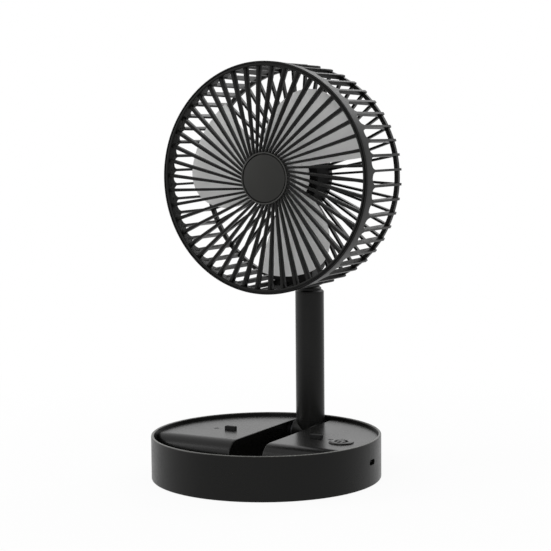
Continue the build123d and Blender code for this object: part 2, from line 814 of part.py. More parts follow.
# Motor: a drum in front of the cage's mount, the motor and its bush inside, and a vented rear cover
spinner_back = blade_back + 2.0
spinner_gap = 1.5
housing_front = spinner_back + spinner_gap
housing_back = head_depth - mount_depth - seat_gap
bush_radius = 5.0
bush_stand = 0.8
motor_can_radius = 17.0
motor_can_chamfer = 0.8
cover_thickness = 2.4
vent_count = 12
vent_width = 1.8
vent_length = 10.4
vent_margin = 5.2
vent_circle = mount_inner - vent_margin - vent_length / 2
can_front = housing_front + motor_wall + seat_gap
can_back = head_depth - cover_thickness - seat_gap - part_gap
with BuildPart() as motor_housing:
    with BuildSketch(head_section):
        with BuildLine():
            Polyline(
                (housing_front, bush_radius + seat_gap),
                (housing_front, motor_radius),
                (housing_back, motor_radius),
                (housing_back, motor_radius - motor_wall),
                (housing_front + motor_wall, motor_radius - motor_wall),
                (housing_front + motor_wall, bush_radius + seat_gap),
                close=True,
            )
        make_face()
    revolve(axis=head_axis)
    fillet(motor_housing.edges().group_by(Axis.Y)[0].sort_by(SortBy.LENGTH)[-1], motor_wall / 2)
motor_housing.part.label = "motor_housing"
export_step(motor_housing.part, "parts/motor_housing.step")

with BuildPart() as motor_cover:
    with BuildSketch(head_plane(head_depth - part_gap)):
        Circle(mount_inner - part_gap)
        with PolarLocations(vent_circle, vent_count):
            SlotOverall(vent_length, vent_width, mode=Mode.SUBTRACT)
    extrude(amount=cover_thickness)
motor_cover.part.label = "motor_cover"
export_step(motor_cover.part, "parts/motor_cover.step")

with BuildPart() as motor_can:
    with BuildSketch(head_plane(can_front)):
        Circle(motor_can_radius)
        Circle(shaft_radius + running_gap, mode=Mode.SUBTRACT)
    extrude(amount=can_front - can_back)
    chamfer(motor_can.edges().filter_by(GeomType.CIRCLE).sort_by(SortBy.RADIUS)[-2:], motor_can_chamfer)
motor_can.part.label = "motor_can"
export_step(motor_can.part, "parts/motor_can.step")

with BuildPart() as motor_bush:
    with BuildSketch(head_plane(housing_front - bush_stand)):
        Circle(bush_radius)
        Circle(shaft_radius + running_gap, mode=Mode.SUBTRACT)
    extrude(amount=-bush_stand - motor_wall)
motor_bush.part.label = "motor_bush"
export_step(motor_bush.part, "parts/motor_bush.step")

# Impeller: wide twisted blades round a cup-shaped spinner on the motor's shaft
spinner_front = blade_front - 0.5
spinner_round = 8.8
spinner_nose = spinner_radius - spinner_round
spinner_shoulder = spinner_front + 4.0
spinner_taper = 0.7
spinner_side = spinner_radius - spinner_taper
spinner_plate = 2.4
boss_recess = 6.0
boss_back = spinner_back - boss_recess
shaft_front = spinner_front - nut_height / 2
shaft_bore = shaft_radius + seat_gap
shaft_end_gap = 2.0
blade_root = spinner_radius - spinner_wall + part_gap
blade_spare = 6.0
blade_sections = 6
blade_span = blade_tip - blade_root

# Angles of the blade's outline past its leading edge, and how far out the edges bow
lead_root_angle = 16
lead_bow_angle = 7
tip_start_angle = 4
tip_middle_angle = 23
tip_end_angle = 43
trail_outer_angle = 67
trail_inner_angle = 84
root_end_angle = 96
root_middle_angle = 56
lead_bow_share = 0.46
trail_outer_share = 0.82
trail_inner_share = 0.43


def blade_point(share, angle):
    """A point of the blade's front view: its share of the span, and its angle past the lead."""
    radius = blade_root + blade_span * share
    turned = radians(blade_lead + angle)
    return (radius * cos(turned), radius * sin(turned))


def blade_plane(angle):
    """The plane through the head's axis at this angle, its own X outwards and its own Y backwards."""
    outwards = (cos(radians(angle)), 0, sin(radians(angle)))
    along = (-sin(radians(angle)), 0, cos(radians(angle)))
    return Plane((0, cage_front, head_centre), x_dir=outwards, z_dir=along)


with BuildPart() as blade:
    for section in range(blade_sections + 1):
        share = section / blade_sections
        depth = blade_back + (blade_front - blade_back) * share
        with BuildSketch(blade_plane(blade_lead + (blade_trail - blade_lead) * share)):
            with Locations(((blade_root + blade_tip) / 2, depth)):
                Rectangle(blade_span + blade_spare, blade_thickness)
    loft()
    with BuildSketch(head_plane(0)):
        with BuildLine():
            lead = ThreePointArc(
                blade_point(0, lead_root_angle),
                blade_point(lead_bow_share, lead_bow_angle),
                blade_point(1, tip_start_angle),
            )
            tip = ThreePointArc(
                lead @ 1, blade_point(1, tip_middle_angle), blade_point(1, tip_end_angle)
            )
            trail = Spline(
                tip @ 1,
                blade_point(trail_outer_share, trail_outer_angle),
                blade_point(trail_inner_share, trail_inner_angle),
                blade_point(0, root_end_angle),
            )
            ThreePointArc(trail @ 1, blade_point(0, root_middle_angle), lead @ 0)
        make_face()
    extrude(amount=-head_depth, mode=Mode.INTERSECT)

with BuildPart() as impeller:
    with BuildSketch(head_section):
        with BuildLine():
            nose = Line((spinner_front, shaft_bore), (spinner_front, spinner_nose))
            shoulder = JernArc(
                start=nose @ 1,
                tangent=nose % 1,
                radius=spinner_shoulder - spinner_front,
                arc_size=-60,
            )
            Polyline(
                shoulder @ 1,
                (spinner_shoulder, spinner_side),
                (spinner_back, spinner_radius),
                (spinner_back, spinner_radius - spinner_wall),
                (spinner_shoulder + 1.0, spinner_side - spinner_wall),
                (spinner_front + spinner_plate, spinner_nose),
                (spinner_front + spinner_plate, bush_radius),
                (boss_back, bush_radius),
                (boss_back, shaft_bore),
                nose @ 0,
            )
        make_face()
    revolve(axis=head_axis)
    add(round_head(blade.part, blade_count))
impeller.part.label = "impeller"
export_step(impeller.part, "parts/impeller.step")

with BuildPart() as motor_shaft:
    with BuildSketch(head_plane(shaft_front)):
        Circle(shaft_radius)
    extrude(amount=shaft_front - can_back + shaft_end_gap)
motor_shaft.part.label = "motor_shaft"
export_step(motor_shaft.part, "parts/motor_shaft.step")

# Impeller nut: a small rounded cap nut that clamps the spinner on the shaft
nut_round = 1.2
with BuildPart() as impeller_nut:
    with BuildSketch(head_plane(spinner_front - seat_gap)):
        Circle(nut_radius)
    extrude(amount=nut_height)
    fillet(impeller_nut.edges().group_by(Axis.Y)[0], nut_round)
    with BuildSketch(head_plane(spinner_front)):
        Circle(shaft_bore)
    extrude(amount=spinner_front - shaft_front + part_gap, mode=Mode.SUBTRACT)
impeller_nut.part.label = "impeller_nut"
export_step(impeller_nut.part, "parts/impeller_nut.step")
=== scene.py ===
"""A folding desk fan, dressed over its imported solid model.

Lengths are metres in the model's own frame: the fan faces -Y, +Z is up, and the origin is the
middle of the surface that the base stands on.
"""
import logging
import math
from dataclasses import dataclass, field
from enum import Enum
from functools import cache
from typing import Any, Mapping, Optional, Sequence, Union

import bmesh
import bpy
from mathutils import Matrix, Vector


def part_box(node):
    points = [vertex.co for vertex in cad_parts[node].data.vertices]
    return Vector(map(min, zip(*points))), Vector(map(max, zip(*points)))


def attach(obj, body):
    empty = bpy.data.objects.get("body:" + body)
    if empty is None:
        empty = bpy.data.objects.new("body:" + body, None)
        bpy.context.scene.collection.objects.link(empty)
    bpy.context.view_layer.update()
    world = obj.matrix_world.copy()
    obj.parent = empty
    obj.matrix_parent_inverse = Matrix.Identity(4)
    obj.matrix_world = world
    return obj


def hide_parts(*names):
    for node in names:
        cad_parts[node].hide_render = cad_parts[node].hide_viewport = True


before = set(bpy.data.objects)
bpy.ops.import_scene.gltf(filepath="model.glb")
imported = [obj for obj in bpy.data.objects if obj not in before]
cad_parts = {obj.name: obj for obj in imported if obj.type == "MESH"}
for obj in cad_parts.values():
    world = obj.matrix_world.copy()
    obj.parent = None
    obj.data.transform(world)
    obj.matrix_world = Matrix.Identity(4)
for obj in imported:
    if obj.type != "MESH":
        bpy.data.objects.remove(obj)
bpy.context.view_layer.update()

log = logging.getLogger("desk_fan")

Pair = tuple[float, float]
Triple = tuple[float, float, float]
Colour = tuple[float, float, float, float]
Term = Union["Field", float]

WHITE: Colour = (1.0, 1.0, 1.0, 1.0)

# Where soft noise is cut to give clouds, and finer noise to give specks.
CLOUD_SPAN: Pair = (0.30, 0.70)
SPECK_SPAN: Pair = (0.35, 0.65)

# The Mix node's sockets when it mixes colours.
MIX_SHARE, MIX_FIRST, MIX_SECOND, MIX_RESULT = 0, 6, 7, 2

# How near vertices are merged, in metres, and how far smooth faces may turn, in degrees.
MERGE_DISTANCE = 1e-7
SMOOTH_ANGLE = 35.0

# How many steps a small round piece is turned in.
TURN_STEPS = 96


def paint(red: int, green: int, blue: int) -> Colour:
    """Turn a colour as it looks on a screen into the linear colour a shader takes.

    The other numbers are those of the standard screen curve.

    Args:
        red: Red, from 0 to 255.
        green: Green, from 0 to 255.
        blue: Blue, from 0 to 255.

    Returns:
        The linear colour with full cover.
    """
    screen = [level / 255 for level in (red, green, blue)]
    linear = [
        level / 12.92 if level <= 0.04045 else ((level + 0.055) / 1.055) ** 2.4 for level in screen
    ]
    return (linear[0], linear[1], linear[2], 1.0)


def tinted(colour: Colour, share: float) -> Colour:
    """Return the colour lighter or darker by a share."""
    return (colour[0] * share, colour[1] * share, colour[2] * share, 1.0)


class Field:
    """A value that varies over a surface, wrapped so that shader maths reads as plain maths."""

    def __init__(self, recipe: "Recipe", socket: bpy.types.NodeSocket) -> None:
        """Hold a socket and the recipe whose nodes it belongs to."""
        self.recipe = recipe
        self.socket = socket

    def joined(self, operation: str, first: Term, second: Term) -> "Field":
        """Add one Math node.

        Args:
            operation: The Math node's operation.
            first: The first value or field.
            second: The second value or field.

        Returns:
            The field that the node gives.
        """
        made = self.recipe.node("ShaderNodeMath", {"operation": operation}, {0: first, 1: second})
        return Field(self.recipe, made.outputs[0])

    def __add__(self, other: Term) -> "Field":
        """Return this field plus another value."""
        return self.joined("ADD", self, other)

    def __radd__(self, other: Term) -> "Field":
        """Return another value plus this field."""
        return self.joined("ADD", other, self)

    def __sub__(self, other: Term) -> "Field":
        """Return this field less another value."""
        return self.joined("SUBTRACT", self, other)

    def __rsub__(self, other: Term) -> "Field":
        """Return another value less this field."""
        return self.joined("SUBTRACT", other, self)

    def __mul__(self, other: Term) -> "Field":
        """Return this field times another value."""
        return self.joined("MULTIPLY", self, other)

    def __rmul__(self, other: Term) -> "Field":
        """Return another value times this field."""
        return self.joined("MULTIPLY", other, self)

    def larger(self, other: Term) -> "Field":
        """Return the larger of this field and another value."""
        return self.joined("MAXIMUM", self, other)

    def between(self, low: float, high: float) -> "Field":
        """Return a soft step.

        Args:
            low: Where the step leaves 0.
            high: Where the step reaches 1.

        Returns:
            A field from 0 to 1.
        """
        made = self.recipe.node(
            "ShaderNodeMapRange",
            {"interpolation_type": "SMOOTHSTEP"},
            {"Value": self, "From Min": low, "From Max": high},
        )
        return Field(self.recipe, made.outputs[0])


class Recipe:
    """A node tree in the making, with one method that adds any node."""

    def __init__(self, tree: bpy.types.NodeTree) -> None:
        """Hold the tree, and look up its main shader and its output.

        Args:
            tree: The node tree of a material or a world.
        """
        self.tree = tree
        self.shader = tree.nodes.get("Principled BSDF")
        self.output = tree.nodes.get("Material Output") or tree.nodes.get("World Output")

    def node(
        self,
        kind: str,
        settings: Optional[Mapping[str, Any]] = None,
        inputs: Optional[Mapping[Union[int, str], Any]] = None,
    ) -> bpy.types.Node:
        """Add a node.

        Args:
            kind: The node's type.
            settings: What the node is set to, before its sockets are filled.
            inputs: Values or links for its sockets, by name or number.

        Returns:
            The new node.
        """
        made = self.tree.nodes.new(kind)
        for name, value in (settings or {}).items():
            setattr(made, name, value)
        for name, value in (inputs or {}).items():
            self.fill(made.inputs[name], value)
        return made

    def fill(self, socket: bpy.types.NodeSocket, value: Any) -> None:
        """Link a socket, or give it a plain value.

        Args:
            socket: The socket that is filled.
            value: A field or a socket, which is linked, or the plain value.
        """
        source = value.socket if isinstance(value, Field) else value
        if isinstance(source, bpy.types.NodeSocket):
            self.tree.links.new(source, socket)
        else:
            socket.default_value = source

    def feed(self, inputs: Mapping[str, Any]) -> None:
        """Fill sockets of the main shader."""
        for name, value in inputs.items():
            self.fill(self.shader.inputs[name], value)

    def place(self) -> bpy.types.NodeSocket:
        """Return the place on the piece, in metres."""
        return self.node("ShaderNodeTexCoord").outputs["Object"]

    def height(self) -> Field:
        """Return the height of the place on the piece, in metres."""
        split = self.node("ShaderNodeSeparateXYZ", None, {0: self.place()})
        return Field(self, split.outputs["Z"])

    def noise(self, cell: float, detail: float = 2.0, stretch: Triple = (1.0, 1.0, 1.0)) -> Field:
        """Add soft noise on the piece.

        Args:
            cell: The size of the noise's cells, in metres.
            detail: How many finer layers it has.
            stretch: How the cells are squeezed along X, Y and Z.

        Returns:
            A field round one half.
        """
        mapped = self.node("ShaderNodeMapping", None, {"Vector": self.place(), "Scale": stretch})
        made = self.node(
            "ShaderNodeTexNoise",
            {"noise_dimensions": "3D"},
            {"Vector": mapped.outputs[0], "Scale": 1 / cell, "Detail": detail},
        )
        return Field(self, made.outputs[0])

    def blend(self, share: Term, first: Any, second: Any) -> bpy.types.NodeSocket:
        """Mix two colours.

        Args:
            share: How far the mix is on its way from the first colour to the second.
            first: The first colour, or its socket.
            second: The second colour, or its socket.

        Returns:
            The mixed colour's socket.
        """
        inputs = {MIX_SHARE: share, MIX_FIRST: first, MIX_SECOND: second}
        return self.node("ShaderNodeMix", {"data_type": "RGBA"}, inputs).outputs[MIX_RESULT]

    def shaded(self, share: Term, colour: Colour, drift: float) -> bpy.types.NodeSocket:
        """Vary a colour.

        Args:
            share: Where it is between its darkest, at 0, and its lightest, at 1.
            colour: The colour in the middle.
            drift: How much darker and lighter it gets, as a share.

        Returns:
            The varied colour's socket.
        """
        return self.blend(share, tinted(colour, 1 - drift), tinted(colour, 1 + drift))

    def relief(self, height: Field, depth: float, strength: float) -> bpy.types.NodeSocket:
        """Return a normal that follows a height.

        Args:
            height: The height, from 0 to 1.
            depth: What a height of 1 is, in metres.
            strength: How far the relief shows.

        Returns:
            The normal's socket.
        """
        inputs = {"Strength": strength, "Distance": depth, "Height": height}
        return self.node("ShaderNodeBump", None, inputs).outputs[0]


def started(name: str) -> tuple[bpy.types.Material, Recipe]:
    """Start a material with nodes.

    Args:
        name: The material's name.

    Returns:
        The material, and the recipe for its nodes.
    """
    material = bpy.data.materials.new(name)
    material.use_nodes = True
    return material, Recipe(material.node_tree)


@dataclass(frozen=True)
class PaintedRimHighlight:
    """A painted highlight along a top edge: a lighter colour, in soft patches, over a range of
    heights.
    """

    heights: Pair
    colour: Colour
    patches: float = 0.3


@dataclass(frozen=True)
class Moulded:
    """A moulded plastic or rubber, with the fine grain of its mould, softly rubbed places and,
    where given, a painted highlight along its top edge.
    """

    name: str
    colour: Colour
    roughness: float
    specular: float = 0.25
    grain: float = 0.0005
    depth: float = 0.00006
    cover: float = 0.35
    drift: float = 0.10
    rubbed: float = 0.06
    rim_highlight: Optional[PaintedRimHighlight] = None
    cloud_cell: float = 0.035
    cloud_share: float = 0.75
    speck_grains: float = 4.0

    def make(self) -> bpy.types.Material:
        """Build the finish.

        Returns:
            The finish's material.
        """
        material, recipe = started(self.name)
        grain = recipe.noise(self.grain, detail=3.0)
        cloud = recipe.noise(self.cloud_cell).between(*CLOUD_SPAN)
        speck = recipe.noise(self.speck_grains * self.grain, detail=4.0).between(*SPECK_SPAN)
        tone = self.cloud_share * cloud + (1 - self.cloud_share) * speck
        colour = recipe.shaded(tone, self.colour, self.drift)
        # Painted highlight: the top edge's rounding is coloured lighter, in soft patches, in place
        # of the light it catches.
        if self.rim_highlight is not None:
            patches = 1 - self.rim_highlight.patches + self.rim_highlight.patches * cloud
            painted_highlight = recipe.height().between(*self.rim_highlight.heights) * patches
            colour = recipe.blend(painted_highlight, colour, self.rim_highlight.colour)
        recipe.feed({
            "Base Color": colour,
            "Roughness": self.roughness + self.rubbed * (speck - cloud),
            "Specular IOR Level": self.specular,
            "Normal": recipe.relief(grain, self.depth, self.cover),
        })
        return material


@dataclass(frozen=True)
class Metal:
    """A metal with fine lines drawn along one direction."""

    name: str
    colour: Colour
    roughness: float
    stretch: Triple
    cell: float = 0.0004
    depth: float = 0.00003
    cover: float = 0.25
    drift: float = 0.08
    cloud_cell: float = 0.012
    line_rubbed: float = 0.12
    cloud_rubbed: float = 0.05

    def make(self) -> bpy.types.Material:
        """Build the finish.

        Returns:
            The finish's material.
        """
        material, recipe = started(self.name)
        lines = recipe.noise(self.cell, detail=3.0, stretch=self.stretch)
        cloud = recipe.noise(self.cloud_cell).between(*CLOUD_SPAN)
        rubbed = self.line_rubbed * (lines - 0.5) + self.cloud_rubbed * (cloud - 0.5)
        recipe.feed({
            "Base Color": recipe.shaded(0.5 * (cloud + lines), self.colour, self.drift),
            "Metallic": 1.0,
            "Roughness": self.roughness + rubbed,
            "Normal": recipe.relief(lines, self.depth, self.cover),
        })
        return material


@dataclass(frozen=True)
class Board:
    """A circuit board: green lacquer over faint copper tracks."""

    name: str
    colour: Colour
    track_colour: Colour
    roughness: float = 0.30
    track_cell: float = 0.006
    track_stretch: Triple = (1.0, 0.25, 1.0)
    track_edge: Pair = (0.48, 0.52)
    track_depth: float = 0.00003
    track_cover: float = 0.4
    track_rubbed: float = 0.08
    weave_cell: float = 0.0006
    weave_rubbed: float = 0.05

    def make(self) -> bpy.types.Material:
        """Build the finish.

        Returns:
            The finish's material.
        """
        material, recipe = started(self.name)
        weave = recipe.noise(self.weave_cell)
        ripple = recipe.noise(self.track_cell, detail=0.0, stretch=self.track_stretch)
        tracks = ripple.between(*self.track_edge)
        rubbed = self.track_rubbed * tracks + self.weave_rubbed * (weave - 0.5)
        recipe.feed({
            "Base Color": recipe.blend(tracks, self.colour, self.track_colour),
            "Roughness": self.roughness + rubbed,
            "Normal": recipe.relief(tracks, self.track_depth, self.track_cover),
        })
        return material


class Finish(Enum):
    """The fan's finishes."""

    SHELL = Moulded(
        "shell_plastic", paint(11, 11, 10), 0.32, 0.16, cover=0.18,
        # The rim's top rounding gets a painted highlight.
        rim_highlight=PaintedRimHighlight((0.0359, 0.0364), paint(104, 104, 101)),
    )
    CAGE = Moulded("cage_plastic", paint(9, 9, 8), 0.36, 0.15, cover=0.18)
    DECK = Moulded(
        "deck_satin", paint(11, 11, 10), 0.26, 0.24, depth=0.00002, cover=0.05, rubbed=0.015
    )
    BUTTON = Moulded(
        "button_plastic", paint(11, 11, 10), 0.26, 0.21, depth=0.00002, cover=0.05, rubbed=0.015
    )
    POST = Moulded("post_paint", paint(11, 11, 10), 0.34, 0.18, depth=0.00003, cover=0.2)
    # The hub's trim ring is coloured lighter than the cup as a painted highlight on its rounded
    # edge.
    TRIM_PAINTED_HIGHLIGHT = Moulded("trim_painted_highlight", paint(46, 46, 44), 0.34, 0.30)
    HUB = Moulded("hub_matt", paint(31, 31, 29), 0.50, 0.20)
    BLADE = Moulded("blade_grey", paint(226, 226, 225), 0.45, 0.30, drift=0.02, rubbed=0.04)
    DRUM = Moulded("drum_plastic", paint(6, 6, 6), 0.60, 0.08)
    RUBBER = Moulded("bumper_rubber", paint(22, 22, 22), 0.80, 0.18, grain=0.0008, cover=0.6)
    NYLON = Moulded("washer_nylon", paint(200, 198, 190), 0.50, 0.35, drift=0.03)
    MARK = Moulded("mark_ink", paint(14, 14, 14), 0.92, 0.05, rubbed=0.02)
    SCREW = Metal("screw_steel", paint(60, 60, 62), 0.42, (1.0, 1.0, 0.1))
    PIN = Metal("pin_ground", paint(168, 168, 170), 0.34, (1.0, 0.06, 0.06))
    BRACKET = Metal("bracket_steel", paint(72, 72, 74), 0.46, (0.1, 1.0, 1.0))
    SOCKET = Metal("socket_plated", paint(150, 150, 152), 0.34, (0.1, 1.0, 1.0))
    MOTOR = Metal("motor_plated", paint(140, 140, 142), 0.38, (1.0, 0.06, 1.0))
    BRASS = Metal("bush_sintered", paint(190, 160, 96), 0.32, (1.0, 0.06, 1.0))
    GOLD = Metal("contact_gold", paint(214, 178, 102), 0.28, (0.1, 1.0, 1.0))
    BOARD = Board("board_lacquer", paint(18, 70, 44), paint(34, 96, 60))
    CELL = Moulded("cell_sleeve", paint(38, 84, 140), 0.34, 0.45, grain=0.0010, drift=0.05)

    @cache
    def material(self) -> bpy.types.Material:
        """Return the finish's material, made the first time it is asked for."""
        return self.value.make()


def set_down(name: str, data: bpy.types.ID) -> bpy.types.Object:
    """Add an object to the scene.

    Args:
        name: The object's name.
        data: Its mesh, camera or lamp.

    Returns:
        The new object, at the origin.
    """
    made = bpy.data.objects.new(name, data)
    bpy.context.scene.collection.objects.link(made)
    return made


def vertices(geometry: Sequence[Any]) -> list[bmesh.types.BMVert]:
    """Return the vertices in a mixed list of geometry."""
    return [item for item in geometry if isinstance(item, bmesh.types.BMVert)]


class Workpiece:
    """A mesh in the making, which becomes a piece of the fan."""

    def __init__(self) -> None:
        """Start with an empty mesh."""
        self.mesh = bmesh.new()

    def everything(self) -> list[Any]:
        """Return all vertices, edges and faces of the mesh."""
        return self.mesh.verts[:] + self.mesh.edges[:] + self.mesh.faces[:]

    def rim(self) -> list[bmesh.types.BMEdge]:
        """Return the open edges of the mesh."""
        return [edge for edge in self.mesh.edges if edge.is_boundary]

    def circle(self, radius: float, segments: int) -> None:
        """Add a filled circle on the XY plane."""
        bmesh.ops.create_circle(self.mesh, cap_ends=True, segments=segments, radius=radius)

    def block(self, size: Triple, centre: Triple) -> list[bmesh.types.BMVert]:
        """Add a block and return its vertices."""
        matrix = Matrix.Translation(centre) @ Matrix.Diagonal((*size, 1.0))
        return bmesh.ops.create_cube(self.mesh, size=1.0, matrix=matrix)["verts"]

    def outline(self, points: Sequence[Pair]) -> list[bmesh.types.BMVert]:
        """Add a face on the XZ plane.

        Args:
            points: Its corners, as distances from the Z axis and heights.

        Returns:
            The vertices at the corners.
        """
        corners = [self.mesh.verts.new((away, 0.0, height)) for away, height in points]
        self.mesh.faces.new(corners)
        return corners

    def cut(self, place: Triple, normal: Triple) -> None:
        """Cut all faces along a plane, and keep both sides.

        Args:
            place: A place on the plane.
            normal: The direction across the plane.
        """
        bmesh.ops.bisect_plane(
            self.mesh, geom=self.everything(), dist=MERGE_DISTANCE, plane_co=place, plane_no=normal
        )

    def taper(self, made: Sequence[Any], shift: Triple, share: float) -> None:
        """Move what an operator made.

        Args:
            made: The new geometry, of which the vertices are moved.
            shift: How far they move.
            share: How much wider or narrower they get about the Z axis.
        """
        moved = vertices(made)
        bmesh.ops.scale(self.mesh, verts=moved, vec=(share, share, 1.0))
        bmesh.ops.translate(self.mesh, verts=moved, vec=shift)

    def pull(self, edges: Sequence[bmesh.types.BMEdge], shift: Triple, share: float) -> None:
        """Extrude open edges, wider or narrower by a share at their new place."""
        made = bmesh.ops.extrude_edge_only(self.mesh, edges=edges)["geom"]
        self.taper(made, shift, share)

    def sink(self, faces: Sequence[bmesh.types.BMFace], depth: float, share: float) -> None:
        """Press faces in along -Z, wider or narrower by a share at the bottom."""
        made = bmesh.ops.extrude_face_region(self.mesh, geom=faces)["geom"]
        self.taper(made, (0.0, 0.0, -depth), share)

    def bevel(self, geometry: Sequence[Any], width: float, segments: int, affect: str) -> None:
        """Bevel edges or corners to a round.

        Args:
            geometry: The edges, or the vertices at the corners.
            width: How far the round reaches along each side.
            segments: How many faces or edges make up the round.
            affect: EDGES or VERTICES.
        """
        bmesh.ops.bevel(
            self.mesh, geom=list(geometry), offset=width, offset_type="OFFSET", segments=segments,
            profile=0.5, affect=affect, clamp_overlap=True, material=-1,
        )

    def soften(self, edges: Sequence[bmesh.types.BMEdge], width: float, segments: int) -> None:
        """Round edges off."""
        self.bevel(edges, width, segments, "EDGES")

    def ease(self, corners: Sequence[bmesh.types.BMVert], width: float, segments: int) -> None:
        """Round corners of a flat outline off."""
        self.bevel(corners, width, segments, "VERTICES")

    def turn(self, steps: int = TURN_STEPS) -> None:
        """Spin the outline of the mesh's faces right round the Z axis.

        Args:
            steps: How many steps the turn takes.
        """
        bmesh.ops.delete(self.mesh, geom=self.mesh.faces[:], context="FACES_ONLY")
        bmesh.ops.spin(
            self.mesh, geom=self.mesh.verts[:] + self.mesh.edges[:], cent=(0.0, 0.0, 0.0),
            axis=(0.0, 0.0, 1.0), angle=math.tau, steps=steps, use_merge=True, use_duplicate=False,
        )

    def move(self, matrix: Matrix) -> None:
        """Move the whole mesh."""
        bmesh.ops.transform(self.mesh, matrix=matrix, verts=self.mesh.verts[:])

    def repeat(self, places: Sequence[Matrix]) -> None:
        """Put copies of the mesh in place of the mesh itself.

        Args:
            places: How each copy is moved.
        """
        first = self.everything()
        for place in places:
            copied = bmesh.ops.duplicate(self.mesh, geom=first)["geom"]
            bmesh.ops.transform(self.mesh, matrix=place, verts=vertices(copied))
        bmesh.ops.delete(self.mesh, geom=vertices(first))

    def settle(self, name: str) -> bpy.types.Mesh:
        """Write the mesh down for good.

        Args:
            name: The mesh data's name.

        Returns:
            The mesh data.
        """
        data = bpy.data.meshes.new(name)
        self.mesh.to_mesh(data)
        self.mesh.free()
        return data

    def join(self, other: "Workpiece") -> None:
        """Take over another mesh.

        Args:
            other: The work that holds it, which is then spent.
        """
        data = other.settle("joined")
        self.mesh.from_mesh(data)
        bpy.data.meshes.remove(data)

    def piece(self, name: str, body: str, slot: str, finish: Finish) -> bpy.types.Object:
        """Close the mesh and set it down as a piece.

        Args:
            name: The piece's name.
            body: The body that the piece rides on.
            slot: A material slot's name; not used.
            finish: The finish that it gets.

        Returns:
            The new object.
        """
        bmesh.ops.remove_doubles(self.mesh, verts=self.mesh.verts[:], dist=MERGE_DISTANCE)
        bmesh.ops.recalc_face_normals(self.mesh, faces=self.mesh.faces[:])
        data = self.settle(name)
        data.shade_smooth()
        data.set_sharp_from_angle(angle=math.radians(SMOOTH_ANGLE))
        data.materials.append(finish.material())
        made = set_down(name, data)
        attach(made, body)
        log.info("%s: %d faces, rides on %s", name, len(data.polygons), body)
        return made


@dataclass
class CrossScrew:
    """A small pan-head screw with a cross recess, its head's top on the XY plane."""

    head_radius: float = 0.0021
    head_height: float = 0.0013
    head_rounding: float = 0.45
    head_segments: int = 32
    shank_radius: float = 0.0013
    shank_length: float = 0.0065
    shank_taper: float = 0.9
    recess_width: float = 0.00075
    recess_reach: float = 0.0013
    recess_depth: float = 0.0007
    recess_taper: float = 0.72

    def build(self) -> Workpiece:
        """Build the screw.

        Returns:
            The screw, its shank along -Z.
        """
        work = Workpiece()
        work.circle(self.head_radius, self.head_segments)
        half = self.recess_width / 2
        for place in (-self.recess_reach, -half, half, self.recess_reach):
            work.cut((place, 0.0, 0.0), (1.0, 0.0, 0.0))
            work.cut((0.0, place, 0.0), (0.0, 1.0, 0.0))
        cross = [face for face in work.mesh.faces if self.in_recess(face.calc_center_median())]
        rim = work.rim()
        work.sink(cross, self.recess_depth, self.recess_taper)
        work.pull(rim, (0.0, 0.0, -self.head_height), 1.0)
        top = [edge for edge in rim if edge.is_valid]
        work.soften(top, self.head_height * self.head_rounding, segments=3)
        work.pull(work.rim(), (0.0, 0.0, 0.0), self.shank_radius / self.head_radius)
        work.pull(work.rim(), (0.0, 0.0, -self.shank_length), self.shank_taper)
        bmesh.ops.holes_fill(work.mesh, edges=work.rim(), sides=0)
        return work

    def in_recess(self, place: Vector) -> bool:
        """Say whether a place on the head's top is in the cross."""
        near = min(abs(place.x), abs(place.y)) < self.recess_width / 2
        return near and max(abs(place.x), abs(place.y)) < self.recess_reach


@dataclass
class Assembly:
    """Pieces of the fan that belong together, and the finish of each solid in them."""

    finishes: Mapping[str, Finish] = field(default_factory=dict)

    def dress(self) -> None:
        """Give every solid of the assembly its finish."""
        for node, finish in self.finishes.items():
            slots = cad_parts[node].data.materials
            slots.clear()
            slots.append(finish.material())
            log.info("%s: %s", node, finish.value.name)

    def build(self) -> None:
        """Add the pieces that the solid model leaves to this script."""


